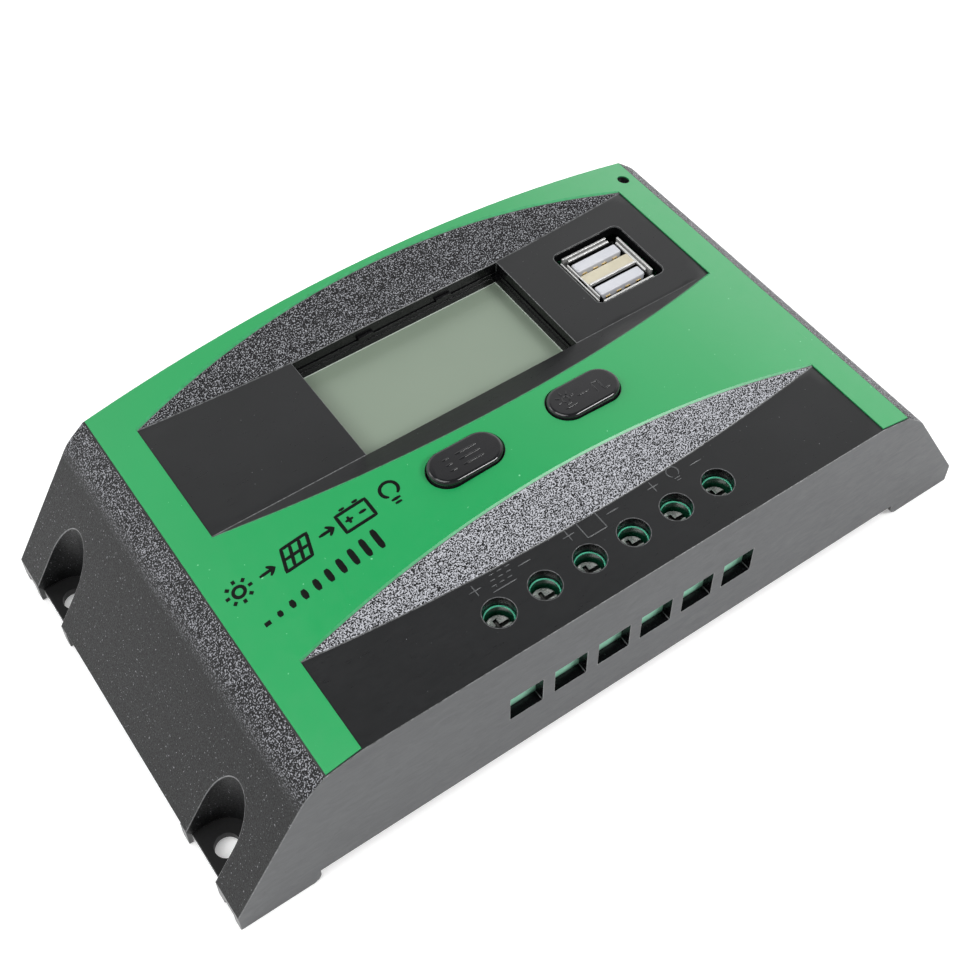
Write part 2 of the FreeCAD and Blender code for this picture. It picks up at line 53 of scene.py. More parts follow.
# Places on the top cover, in millimetres, as in the part's own source.
PANEL_Z = 31.55        # floor of both sunken panels
PANEL_END = 51.05      # half length of the sunken panels' ends
END_X = 57.0           # the sloping ends start beyond this
END_Z = 4.0            # top of the short upright lips
BEVEL_START = (24.6, 27.4)   # heights between which the ends' grain turns coarse
SCOOP_X = 60.0         # scoops at the corners lie beyond this
SCOOP_Y = (20.0, 34.0)
WELL_Z = 24.0          # the wells and holes under the panels reach down to this
FRONT_Y = -39.0        # the front wall lies beyond this
WIRE_Z = (12.9, 19.4)  # heights of the wire openings


# ---- procedural materials ---------------------------------------------------------
class Shader:
    """A Principled material whose textures are measured in millimetres on the piece."""

    def __init__(self, name, colour, rough, **sockets):
        self.mat = bpy.data.materials.new(name)
        self.mat.use_nodes = True
        self.tree = self.mat.node_tree
        self.bsdf = self.tree.nodes["Principled BSDF"]
        self.set("Base Color", (*colour, 1.0))
        self.set("Roughness", rough)
        for key, value in sockets.items():
            self.set(key.replace("_", " "), value)
        coord = self.add("ShaderNodeTexCoord")
        scale = self.add("ShaderNodeVectorMath", operation="SCALE")
        scale.inputs["Scale"].default_value = 1000.0
        self.link(coord.outputs["Object"], scale.inputs[0])
        self.mm = scale.outputs[0]
        self.normal = None

    def add(self, kind, **props):
        node = self.tree.nodes.new(kind)
        for key, value in props.items():
            setattr(node, key, value)
        return node

    def link(self, a, b):
        self.tree.links.new(a, b)

    def set(self, socket, value):
        self.bsdf.inputs[socket].default_value = value

    def noise(self, scale, detail=2.0, rough=0.5, distort=0.0, stretch=None):
        node = self.add("ShaderNodeTexNoise")
        node.inputs["Scale"].default_value = scale
        node.inputs["Detail"].default_value = detail
        node.inputs["Roughness"].default_value = rough
        node.inputs["Distortion"].default_value = distort
        source = self.mm
        if stretch:
            mapping = self.add("ShaderNodeMapping")
            mapping.inputs["Scale"].default_value = stretch
            self.link(self.mm, mapping.inputs["Vector"])
            source = mapping.outputs[0]
        self.link(source, node.inputs["Vector"])
        return node.outputs["Fac"]

    def cells(self, scale, feature="F1", randomness=1.0):
        node = self.add("ShaderNodeTexVoronoi", feature=feature)
        node.inputs["Scale"].default_value = scale
        node.inputs["Randomness"].default_value = randomness
        self.link(self.mm, node.inputs["Vector"])
        return node.outputs["Distance"]

    def axis(self, name):
        node = self.add("ShaderNodeSeparateXYZ")
        self.link(self.mm, node.inputs[0])
        return node.outputs[name]

    def remap(self, value, low, high, to_low=0.0, to_high=1.0):
        node = self.add("ShaderNodeMapRange")
        for socket, number in zip(("From Min", "From Max", "To Min", "To Max"),
                                  (low, high, to_low, to_high)):
            node.inputs[socket].default_value = number
        self.link(value, node.inputs["Value"])
        return node.outputs["Result"]

    def math(self, kind, a, b):
        node = self.add("ShaderNodeMath", operation=kind)
        for socket, value in zip(node.inputs, (a, b)):
            if isinstance(value, (int, float)):
                socket.default_value = value
            else:
                self.link(value, socket)
        return node.outputs[0]

    def blend(self, fac, a, b):
        node = self.add("ShaderNodeMix", data_type="RGBA")
        self.link(fac, node.inputs[0])
        for socket, value in zip((node.inputs[6], node.inputs[7]), (a, b)):
            if isinstance(value, tuple):
                socket.default_value = (*value, 1.0)
            else:
                self.link(value, socket)
        return node.outputs[2]

    def colour(self, value):
        self.link(value, self.bsdf.inputs["Base Color"])

    def rough(self, value):
        self.link(value, self.bsdf.inputs["Roughness"])

    def bump(self, height, strength, depth_mm):
        node = self.add("ShaderNodeBump")
        node.inputs["Strength"].default_value = strength
        node.inputs["Distance"].default_value = depth_mm * MM
        self.link(height, node.inputs["Height"])
        if self.normal:
            self.link(self.normal, node.inputs["Normal"])
        self.normal = node.outputs[0]
        self.link(self.normal, self.bsdf.inputs["Normal"])


def satin_black():
    """Moulded ABS, smooth: faint flow mottling, a few scuffs and dust specks."""
    s = Shader("abs_satin", (0.011, 0.0112, 0.012), 0.42, Specular_IOR_Level=0.5)
    mottle = s.noise(0.09, 3, 0.55)
    specks = s.remap(s.noise(2.6, 1, 0.4), 0.80, 0.83)
    base = s.blend(mottle, (0.008, 0.0085, 0.009), (0.013, 0.0135, 0.0145))
    s.colour(s.blend(specks, base, (0.22, 0.23, 0.24)))
    scuff = s.noise(1.1, 4, 0.7, 1.5, stretch=(0.25, 1.0, 1.0))
    s.rough(s.remap(scuff, 0.3, 0.75, 0.27, 0.37))
    s.bump(s.noise(5.0, 2, 0.5), 0.15, 0.008)
    return s.mat


def front_black():
    """The front wall: the same plastic with a drier surface and dark specks; its paler base is
    painted light.
    """
    s = Shader("abs_front_painted_light", (0.05, 0.052, 0.056), 0.36, Specular_IOR_Level=0.62)
    mottle = s.noise(0.07, 3, 0.55)
    specks = s.remap(s.noise(1.9, 1, 0.4), 0.79, 0.81)
    base = s.blend(mottle, (0.026, 0.028, 0.031), (0.040, 0.043, 0.047))
    s.colour(s.blend(specks, base, (0.012, 0.012, 0.012)))
    scuff = s.noise(0.8, 4, 0.7, 1.2, stretch=(0.3, 1.0, 1.0))
    s.rough(s.remap(scuff, 0.3, 0.75, 0.38, 0.50))
    s.bump(s.noise(4.0, 2, 0.5), 0.15, 0.010)
    return s.mat


def grained_black():
    """Sloping ends: fine grain with a few bright points, coarse on the bevel by the film; the bright
    points and the pale peaks of the coarse grain are painted glints.
    """
    s = Shader("abs_grain", (0.012, 0.012, 0.013), 0.42, Specular_IOR_Level=0.25)
    fine = s.noise(4.2, 1, 0.5)
    # Painted glints: sparse pale points in the base colour.
    painted_glints = s.remap(s.noise(3.3, 1, 0.5), 0.70, 0.76)
    base = s.blend(s.remap(fine, 0.35, 0.65), (0.001, 0.001, 0.001), (0.012, 0.013, 0.014))
    plain = s.blend(painted_glints, base, (0.26, 0.26, 0.28))
    coarse = s.noise(4.0, 1, 0.5)
    # Pale peaks of the bevel's coarse grain: painted highlights.
    rough = s.blend(s.remap(coarse, 0.54, 0.62), (0.001, 0.001, 0.002), (0.30, 0.305, 0.33))
    bevel = s.remap(s.axis("Z"), *BEVEL_START)
    s.colour(s.blend(bevel, plain, rough))
    s.rough(s.remap(fine, 0.35, 0.65, 0.50, 0.36))
    s.bump(fine, 0.7, 0.05)
    s.bump(s.math("MULTIPLY", coarse, bevel), 1.0, 0.14)
    return s.mat


def coarse_black(name, start, end, peak):
    """Coarse grain of the panel facets: dark below `start` of the noise, `peak` above `end`; the
    pale peaks are painted highlights of the grain.
    """
    s = Shader(name, (0.03, 0.03, 0.033), 0.45, Specular_IOR_Level=0.30)
    grain = s.noise(4.5, 1, 0.5)
    s.colour(s.blend(s.remap(grain, start, end), (0.001, 0.001, 0.002),
                     (peak, peak * 1.02, peak * 1.10)))
    s.rough(s.remap(grain, 0.42, 0.60, 0.62, 0.34))
    s.bump(grain, 1.0, 0.16)
    return s.mat


def deep_black():
    """Polished black of the well walls and wire openings, darker than the satin plastic: painted
    shade.
    """
    s = Shader("abs_polished_painted_shade", (0.004, 0.004, 0.004), 0.24, Specular_IOR_Level=0.2)
    s.colour(s.blend(s.noise(0.5, 3, 0.6), (0.002, 0.002, 0.002), (0.006, 0.006, 0.007)))
    s.rough(s.remap(s.noise(1.2, 3, 0.6), 0.3, 0.7, 0.18, 0.30))
    return s.mat


def edge_black():
    """Edges of the cover, rubbed bright in places by wear and painted pale as highlight lines."""
    s = Shader("abs_edge", (0.035, 0.036, 0.038), 0.34, Specular_IOR_Level=1.0)
    s.colour(s.blend(s.remap(s.noise(1.3, 4, 0.7), 0.35, 0.7), (0.012, 0.012, 0.013),
                     (0.16, 0.165, 0.17)))
    s.bump(s.noise(6.0, 2, 0.5), 0.2, 0.02)
    return s.mat


def green_film():
    """Face film: satin green with a soft clear coat and a little dust."""
    s = Shader("green_film", (0.009, 0.30, 0.085), 0.34, Specular_IOR_Level=0.55,
               Coat_Weight=0.35, Coat_Roughness=0.22)
    tone = s.noise(0.035, 2, 0.5)
    specks = s.remap(s.noise(1.6, 1, 0.4), 0.80, 0.815)
    base = s.blend(tone, (0.006, 0.285, 0.076), (0.010, 0.312, 0.087))
    s.colour(s.blend(specks, base, (0.16, 0.55, 0.28)))
    s.rough(s.remap(s.noise(0.5, 4, 0.65, 0.8), 0.3, 0.7, 0.28, 0.37))
    s.bump(s.noise(2.2, 3, 0.5), 0.12, 0.012)
    return s.mat


def film_edge():
    """Cut edge of the printed film."""
    s = Shader("film_edge", (0.02, 0.32, 0.11), 0.34)
    s.colour(s.blend(s.noise(1.2, 2, 0.5), (0.008, 0.22, 0.06), (0.05, 0.40, 0.16)))
    return s.mat


def black_ink():
    """Matt ink of the print on the film."""
    s = Shader("black_ink", (0.003, 0.004, 0.003), 0.45, Specular_IOR_Level=0.12)
    s.colour(s.blend(s.noise(3.0, 3, 0.6), (0.001, 0.002, 0.001), (0.005, 0.006, 0.005)))
    s.rough(s.remap(s.noise(2.0, 2, 0.5), 0.3, 0.7, 0.40, 0.55))
    return s.mat


def gloss_black():
    """Glossy black of the button caps."""
    s = Shader("button_gloss", (0.010, 0.010, 0.011), 0.25, Specular_IOR_Level=0.05,
               Coat_Weight=1.0, Coat_Roughness=0.05)
    s.colour(s.blend(s.noise(0.4, 3, 0.6), (0.008, 0.008, 0.009), (0.015, 0.015, 0.017)))
    s.rough(s.remap(s.noise(1.4, 2, 0.5), 0.3, 0.7, 0.26, 0.34))
    return s.mat


def plastic(name, dark, light, rough, grain=4.0, depth=0.015, **sockets):
    """Any plain moulding or plating: clouded between two tones, with a fine grain."""
    s = Shader(name, light, rough, **sockets)
    s.colour(s.blend(s.noise(0.35, 3, 0.6), dark, light))
    s.rough(s.remap(s.noise(1.5, 3, 0.6), 0.3, 0.7, rough * 0.85, min(1.0, rough * 1.15)))
    s.bump(s.noise(grain, 2, 0.5), 0.2, depth)
    return s.mat


def metal(name, dark, light, rough, stretch=(1.0, 1.0, 1.0), depth=0.01):
    """Bare metal, brushed along the axes that `stretch` scales least."""
    s = Shader(name, light, rough, Metallic=1.0)
    brushed = s.noise(3.5, 3, 0.6, 0.0, stretch)
    s.colour(s.blend(s.noise(0.8, 3, 0.6), dark, light))
    s.rough(s.remap(brushed, 0.3, 0.7, rough * 0.7, min(1.0, rough * 1.3)))
    s.bump(brushed, 0.25, depth)
    return s.mat


def display_face():
    """Blank reflective display: grey-green with slow changes of tone under clear glass."""
    s = Shader("display_face", (0.24, 0.31, 0.23), 0.36, Specular_IOR_Level=0.5,
               Coat_Weight=0.25, Coat_Roughness=0.10)
    tone = s.noise(0.05, 2, 0.5)
    s.colour(s.blend(tone, (0.200, 0.250, 0.192), (0.226, 0.280, 0.216)))
    s.rough(s.remap(s.noise(0.25, 2, 0.5), 0.3, 0.7, 0.34, 0.40))
    return s.mat


def circuit_board():
    """Green board with a net of raised tracks."""
    s = Shader("circuit_board", (0.02, 0.16, 0.07), 0.35)
    tracks = s.remap(s.cells(0.45, "DISTANCE_TO_EDGE"), 0.05, 0.07)
    s.colour(s.blend(tracks, (0.05, 0.25, 0.12), (0.014, 0.12, 0.05)))
    s.bump(tracks, 0.3, 0.03)
    return s.mat


M = {
    "satin": satin_black(), "front": front_black(), "grain": grained_black(),
    "coarse": coarse_black("abs_coarse", 0.54, 0.62, 0.30),
    # Brighter copy of the coarse grain for the facet in front: painted light.
    "facet": coarse_black("abs_coarse_lit", 0.45, 0.57, 0.48),
    "deep": deep_black(), "edge": edge_black(), "film": green_film(), "film_edge": film_edge(),
    "ink": black_ink(), "button": gloss_black(), "lcd": display_face(), "board": circuit_board(),
    # The base plate is darker than the cover's plastic: painted shade where it shows in the scoops.
    "plate": plastic("black_plate", (0.003, 0.003, 0.003), (0.008, 0.008, 0.009), 0.55, 3.0, 0.03,
                     Specular_IOR_Level=0.3),
    "terminal": plastic("green_terminal", (0.014, 0.26, 0.13), (0.022, 0.36, 0.19), 0.30,
                        Specular_IOR_Level=0.6),
    # Dark copy of the block's green for the screw bores: painted shade.
    "terminal_deep": plastic("terminal_bore_painted_shade", (0.002, 0.035, 0.016), (0.003, 0.060, 0.030), 0.16,
                             Specular_IOR_Level=0.45),
    # Pale green of the block's rounded edges and bore lips: painted highlight.
    "terminal_rim_highlight": plastic("terminal_rim_highlight", (0.08, 0.50, 0.31), (0.13, 0.62, 0.41), 0.25,
                            Specular_IOR_Level=0.7),
    # Raised marks paler than the cover's plastic: painted highlight on the ridges.
    "mark": plastic("raised_mark_painted_highlight", (0.03, 0.031, 0.033), (0.12, 0.125, 0.13), 0.32,
                    Specular_IOR_Level=0.7),
    # Pale copy of the block's green for its front face: painted light.
    "terminal_face": plastic("terminal_face", (0.26, 0.62, 0.44), (0.38, 0.72, 0.54), 0.35),
    "white": plastic("white_plastic", (0.50, 0.51, 0.55), (0.60, 0.61, 0.64), 0.38),
    "cream": plastic("cream_plastic", (0.48, 0.44, 0.33), (0.60, 0.56, 0.43), 0.45),
    "guide": plastic("white_guide", (0.72, 0.72, 0.69), (0.80, 0.80, 0.77), 0.5),
    # Near-black lining of the socket's depth: painted shade.
    "void": plastic("insulator_painted_shade", (0.001, 0.001, 0.001), (0.003, 0.003, 0.003), 0.7,
                    Specular_IOR_Level=0.1),
    "switch": plastic("black_switch", (0.012, 0.012, 0.012), (0.022, 0.022, 0.022), 0.45),
    "chip": plastic("chip_black", (0.012, 0.012, 0.013), (0.022, 0.022, 0.023), 0.5),
    "sleeve": plastic("cap_sleeve", (0.022, 0.026, 0.04), (0.035, 0.04, 0.06), 0.28),
    "fuse": plastic("fuse_orange", (0.70, 0.20, 0.02), (0.82, 0.27, 0.04), 0.25),
    "pad": plastic("grey_pad", (0.34, 0.36, 0.36), (0.42, 0.44, 0.44), 0.7),
    "ferrite": plastic("ferrite", (0.07, 0.07, 0.075), (0.11, 0.11, 0.115), 0.6),
    "lens": plastic("smoked_lens", (0.008, 0.008, 0.008), (0.016, 0.016, 0.017), 0.12),
    "nickel": metal("nickel_steel", (0.62, 0.61, 0.58), (0.78, 0.77, 0.74), 0.22),
    "screw": plastic("nickel_screw", (0.72, 0.72, 0.70), (0.88, 0.88, 0.86), 0.28,
                     Metallic=0.55, Specular_IOR_Level=1.0),
    # Darker metal inside the screw drives: painted shade.
    "recess": metal("screw_recess_painted_shade", (0.08, 0.08, 0.08), (0.20, 0.20, 0.19), 0.35),
    "can": plastic("can_steel", (0.66, 0.66, 0.65), (0.82, 0.82, 0.81), 0.36, Metallic=0.7),
    "glass_edge": plastic("glass_edge", (0.42, 0.48, 0.42), (0.58, 0.64, 0.58), 0.25),
    "zinc": metal("zinc_steel", (0.50, 0.50, 0.48), (0.66, 0.66, 0.64), 0.34),
    "tin": metal("tinned_metal", (0.60, 0.60, 0.58), (0.74, 0.74, 0.72), 0.30),
    "gold": metal("gold_contact", (0.70, 0.48, 0.16), (0.86, 0.63, 0.27), 0.25),
    "alloy": metal("shunt_alloy", (0.50, 0.34, 0.22), (0.64, 0.45, 0.30), 0.35),
    "milled": metal("milled_aluminium", (0.62, 0.63, 0.64), (0.76, 0.77, 0.78), 0.38,
                    (6.0, 0.4, 0.4)),
}

SLOT_LOOKS = {
    "black_abs": "satin", "green_film": "film", "black_plate": "plate", "zinc_steel": "zinc",
    "nickel_steel": "nickel", "green_board": "board", "lcd_glass": "lcd",
    "white_guide": "guide", "tinned_metal": "tin", "cream_plastic": "cream",
    "white_plastic": "white", "gold_contact": "gold", "black_switch": "switch",
    "smoked_lens": "lens", "green_terminal": "terminal", "aluminium": "milled",
    "grey_pad": "pad", "chip_black": "chip", "cap_sleeve": "sleeve", "fuse_orange": "fuse",
    "shunt_alloy": "alloy", "ferrite": "ferrite", "button_gloss": "button",
}
slot_of = {part["node"]: part["material_slot"] for part in frame["record"]["subparts"]}
for node_name, obj in nodes.items():
    for k in range(len(obj.material_slots)):
        obj.material_slots[k].material = M[SLOT_LOOKS[slot_of[node_name]]]


# ---- pieces rebuilt from their CAD node with softened edges --------------------------
def cover_look(centre, normal):
    x, y, z = centre / MM
    upright = abs(normal.z) < 0.3
    # Walls of the wells and the wire openings take the darker deep look: painted shade.
    if upright and abs(x) < 49.0 and abs(y) < 37.0 and z > WELL_Z:
        return "deep"
    if abs(x) < 30.0 and y < -36.0 and WIRE_Z[0] < z < WIRE_Z[1] and abs(normal.y) < 0.5:
        return "deep"
    if abs(x) > END_X and z > END_Z and abs(normal.x) > 0.3:
        return "grain"
    facet = 0.5 < normal.z < 0.95 and normal.y < -0.3
    if facet and z > PANEL_Z - 0.05 and abs(x) < PANEL_END:
        # The facet in front takes the brighter copy: painted light.
        return "facet" if y < 0 else "coarse"
    if abs(x) > SCOOP_X and SCOOP_Y[0] < abs(y) < SCOOP_Y[1] and z > 3.0:
        return "grain"
    # The front wall takes the paler copy of the plastic: painted light.
    if normal.y < -0.9 and y < FRONT_Y:
        return "front"
    return "satin"


def plan_box(names, margin):
    """Outline round some CAD nodes seen from above: x0, x1, y0, y1 in millimetres."""
    lows, highs = zip(*(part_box(name) for name in names))
    return (min(p.x for p in lows) / MM - margin, max(p.x for p in highs) / MM + margin,
            min(p.y for p in lows) / MM - margin, max(p.y for p in highs) / MM + margin)


SMALL_HOLES = [plan_box(["terminal_screw_1", "terminal_screw_6"], 0.8),
               plan_box(["usb_shell"], 1.3), plan_box(["status_led"], 1.0),
               plan_box(["button_menu", "button_load"], 0.5)]


def cover_edge(edge):
    """Every sharp edge is rounded but those of the small holes, which stay crisp."""
    x, y, z = (edge.verts[0].co + edge.verts[1].co) / 2 / MM
    return z < WELL_Z or not any(x0 < x < x1 and y0 < y < y1 for x0, x1, y0, y1 in SMALL_HOLES)


BLOCK_FRONT, BLOCK_TOP = -37.5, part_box("terminal_block")[1].z / MM


def block_look(centre, normal):
    """The block's front face is painted pale as light, and its screw bores are painted dark as
    shade.
    """
    x, y, z = centre / MM
    if normal.y < -0.9 and y < BLOCK_FRONT:
        return "terminal_face"
    bore = z < BLOCK_TOP - 0.1 and abs(normal.z) < 0.9
    return "terminal_deep" if bore else "terminal"


def film_look(centre, normal):
    return "film" if abs(normal.z) > 0.9 else "film_edge"


LONGEST_SPAN = 5.0     # longest side of a triangle beside a rounded edge, in millimetres


def flat_edges(bm):
    """Edges whose two faces lie in one plane."""
    return [e for e in bm.edges if len(e.link_faces) == 2 and e.calc_face_angle() < 0.001]


def even_out(bm, longest):
    """Splits long spans of the flat faces, so that rounding an edge has room beside it."""
    for _ in range(4):
        spans = [e for e in flat_edges(bm) if e.calc_length() > longest * MM]
        bmesh.ops.subdivide_edges(bm, edges=spans, cuts=1)
        bmesh.ops.triangulate(bm, faces=bm.faces)
        bm.normal_update()
        bmesh.ops.beautify_fill(bm, faces=bm.faces, edges=flat_edges(bm))
        bm.normal_update()


def rebuilt(node, name, body, looks, pick, width, segments=2, angle=28.0, rim=None, edges=None):
    """A copy of a CAD node with rounded edges, standing in for that node.

    `pick` gives a face its look from its centre and normal, `rim` is the look of the rounding,
    and `edges`, if given, says which of the sharp edges are rounded; the others stay crisp.
    """
    bm = bmesh.new()
    bm.from_mesh(nodes[node].data)
    bmesh.ops.remove_doubles(bm, verts=bm.verts, dist=2e-6)
    bm.normal_update()
    if edges:
        even_out(bm, LONGEST_SPAN)
        weight = bm.edges.layers.float.new("bevel_weight_edge")
        for edge in bm.edges:
            sharp = len(edge.link_faces) == 2 and edge.calc_face_angle() > math.radians(angle)
            rounded = sharp and edges(edge)
            edge[weight] = 1.0 if rounded else 0.0
            edge.smooth = rounded or not sharp
    order = {look: k for k, look in enumerate(looks)}
    for face in bm.faces:
        face.material_index = order[pick(face.calc_center_median(), face.normal)]
        face.smooth = True
    mesh = bpy.data.meshes.new(name)
    bm.to_mesh(mesh)
    bm.free()
    for look in looks:
        mesh.materials.append(M[look])
    piece = bpy.data.objects.new(name, mesh)
    scene.collection.objects.link(piece)
    bevel = piece.modifiers.new("soft_edges", "BEVEL")
    bevel.width = width * MM
    bevel.segments = segments
    bevel.limit_method = "WEIGHT" if edges else "ANGLE"
    bevel.angle_limit = math.radians(angle)
    bevel.use_clamp_overlap = not edges
    bevel.loop_slide = True
    bevel.face_strength_mode = "FSTR_ALL"
    if rim:
        bevel.material = looks.index(rim)
    even = piece.modifiers.new("even_normals", "WEIGHTED_NORMAL")
    even.weight = 90
    even.keep_sharp = True
    even.use_face_influence = True
    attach(piece, body)
    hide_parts(node)
    return piece


def screw_middle(k):
    """Place of a clamp screw seen from above, in millimetres."""
    low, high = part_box(f"terminal_screw_{k}")
    return (low.x + high.x) / 2 / MM, (low.y + high.y) / 2 / MM


DRIVE_R, DRIVE_DEEP, DRIVE_EDGE = 1.9, 0.85, 0.1   # the screw's drive, down from its head


def screw_look(k):
    """Bright head whose slot and cross are painted darker inside, as shade."""
    middle = screw_middle(k)
    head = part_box(f"terminal_screw_{k}")[1].z / MM

    def look(centre, normal):
        x, y, z = centre / MM
        inside = math.dist((x, y), middle) < DRIVE_R
        return "recess" if inside and head - DRIVE_DEEP < z < head - DRIVE_EDGE else "screw"

    return look


def one_look(look):
    """A pick that gives every face the same look."""
    return lambda centre, normal: look


# The rounding of the cover's edges takes the pale edge look: partly wear, partly painted highlight.
rebuilt("top_cover", "cover_shell", "housing",
        ["satin", "front", "grain", "coarse", "facet", "deep", "edge"], cover_look, 0.12, rim="edge",
        edges=cover_edge)
rebuilt("face_film", "printed_film", "housing", ["film", "film_edge"], film_look, 0.05, 1,
        edges=lambda edge: False)
rebuilt("terminal_block", "terminal_housing", "housing",
        ["terminal", "terminal_face", "terminal_deep", "terminal_rim_highlight"], block_look, 0.08,
        rim="terminal_rim_highlight")
for k in range(1, 7):
    rebuilt(f"terminal_screw_{k}", f"clamp_screw_{k}", f"screw_{k}", ["screw", "recess"],
            screw_look(k), 0.07)
for side in ("menu", "load"):
    rebuilt(f"button_{side}", f"{side}_button", f"button_{side}_body", ["button"],
            one_look("button"), 0.06)


# ---- pieces made here ---------------------------------------------------------------
def finished(name, bm, look, body, width, segments=2):
    """A new piece from a mesh whose points are in millimetres, with rounded edges."""
    bmesh.ops.scale(bm, vec=(MM, MM, MM), verts=bm.verts)
    bmesh.ops.recalc_face_normals(bm, faces=bm.faces)
    for face in bm.faces:
        face.smooth = True
    mesh = bpy.data.meshes.new(name)
    bm.to_mesh(mesh)
    bm.free()
    mesh.materials.append(M[look])
    piece = bpy.data.objects.new(name, mesh)
    scene.collection.objects.link(piece)
    bevel = piece.modifiers.new("soft_edges", "BEVEL")
    bevel.width = width * MM
    bevel.segments = segments
    bevel.limit_method = "ANGLE"
    even = piece.modifiers.new("even_normals", "WEIGHTED_NORMAL")
    even.weight = 90
    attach(piece, body)
    return piece


def add_box(bm, x0, x1, y0, y1, z0, z1):
    """A box between two corners."""
    for v in bmesh.ops.create_cube(bm, size=1.0)["verts"]:
        v.co = Vector(((x0 + x1) / 2 + v.co.x * (x1 - x0), (y0 + y1) / 2 + v.co.y * (y1 - y0),
                       (z0 + z1) / 2 + v.co.z * (z1 - z0)))


def join_rings(bm, rings):
    """Faces between each ring of points and the next, the last joined to the first."""
    for a, b in zip(rings, rings[1:] + rings[:1]):
        for k in range(len(a)):
            m = (k + 1) % len(a)
            bm.faces.new((a[k], a[m], b[m], b[k]))


def add_frame(bm, x0, x1, y0, y1, profile):
    """A rectangular frame; its closed profile is (inset, height) from the outer side."""
    rings = []
    for inset, z in profile:
        rings.append([bm.verts.new(p) for p in (
            (x0 + inset, y0 + inset, z), (x1 - inset, y0 + inset, z),
            (x1 - inset, y1 - inset, z), (x0 + inset, y1 - inset, z))])
    join_rings(bm, rings)


def add_tube(bm, x, y, profile, n=40):
    """A ring about a vertical line; its closed profile is (radius, height)."""
    rings = []
    for r, z in profile:
        rings.append([bm.verts.new((x + r * math.cos(math.tau * k / n),
                                    y + r * math.sin(math.tau * k / n), z)) for k in range(n)])
    join_rings(bm, rings)


def ring(x, y, r, n=20, start=0.0, turn=360.0):
    return [(x + r * math.cos(math.radians(start + turn * k / n)),
             y + r * math.sin(math.radians(start + turn * k / n))) for k in range(n + 1)]


def opening(name):
    """Box of one of the record's openings, in millimetres: x0, y0, z0, x1, y1, z1."""
    for o in frame["record"]["physics"]["openings"]:
        if o["name"] == name:
            return [v / MM for v in o["box_m"][0] + o["box_m"][1]]
    raise KeyError(name)


BEZEL_LAP, BEZEL_SINK = 0.14, 0.07   # the bezel reaches past the window box, and below it
GLASS_IN = 0.37                      # from the window box in to the edge of the glass


def display_bezel():
    """Stepped black frame that holds the glass down, with two clips on the back wall."""
    x0, y0, z0, x1, y1, _ = opening("display_window")
    x0, x1, y0, y1 = x0 - BEZEL_LAP, x1 + BEZEL_LAP, y0 - BEZEL_LAP, y1 + BEZEL_LAP
    z0 -= BEZEL_SINK
    bm = bmesh.new()
    add_frame(bm, x0, x1, y0, y1, [(0, z0), (0, z0 + 2.3), (0.2, z0 + 2.3), (0.2, z0 + 1.4),
                                   (0.42, z0 + 1.4), (0.5, z0 + 0.2), (0.5, z0)])
    for x in (-7.5, 9.0):
        add_box(bm, x - 1.6, x + 1.6, y1 - 0.55, y1, z0 + 2.35, z0 + 3.1)
    # The bezel takes the darker deep look: painted shade.
    finished("display_bezel", bm, "deep", "housing", 0.07)


def glass_edge():
    """A thin pale line round the display glass, inside the bezel."""
    x0, y0, z0, x1, y1, _ = opening("display_window")
    bm = bmesh.new()
    add_frame(bm, x0 + GLASS_IN, x1 - GLASS_IN, y0 + GLASS_IN, y1 - GLASS_IN,
              [(0, z0 - 0.05), (0, z0 + 0.13), (0.14, z0 + 0.13), (0.14, z0 - 0.05)])
    finished("glass_edge", bm, "glass_edge", "housing", 0.03)


def socket_can():
    """Folded sheet-metal can of the twin socket: doubled walls with open corners."""
    lo, hi = (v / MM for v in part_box("usb_shell"))
    t = 0.42
    bm = bmesh.new()
    add_box(bm, lo.x, hi.x, lo.y, hi.y, lo.z, lo.z + t)
    for inset, drop in ((0.0, 0.0), (0.85, 0.15)):
        top = hi.z - drop
        x0, x1, y0, y1 = lo.x + inset, hi.x - inset, lo.y + inset, hi.y - inset
        add_box(bm, x0 + 0.9, x1 - 2.1 + inset, y1 - t, y1, lo.z + t, top)
        add_box(bm, x1 - t, x1, y0 + 1.5, y1 - 1.3, lo.z + t, top)
        add_box(bm, x0, x0 + t * 0.7, y0 + 0.8, y1 - 0.9, lo.z + t, top)
    add_box(bm, lo.x + 0.9, hi.x - 0.9, lo.y, lo.y + t, lo.z + t, hi.z)
    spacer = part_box("usb_spacer")[0].y / MM
    add_box(bm, lo.x + 1.3, hi.x - 1.3, spacer - t, spacer - 0.03, hi.z - 0.7, hi.z)
    can = finished("socket_can", bm, "can", "housing", 0.08)
    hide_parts("usb_shell")


TONGUE_CAD, TONGUE_DEEP = 1.8, 2.3   # front to back: as in CAD, and as built here


def socket_tongues():
    """Two white tongues with rounded tops, each deeper behind its contacts."""
    lo, hi = (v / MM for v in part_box("usb_tongues"))
    bm = bmesh.new()
    for y in (lo.y, hi.y - TONGUE_CAD):
        add_box(bm, lo.x, hi.x, y, y + TONGUE_DEEP, lo.z, hi.z + 0.1)
    tongues = finished("socket_tongues", bm, "white", "housing", 0.35, 3)
    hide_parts("usb_tongues")


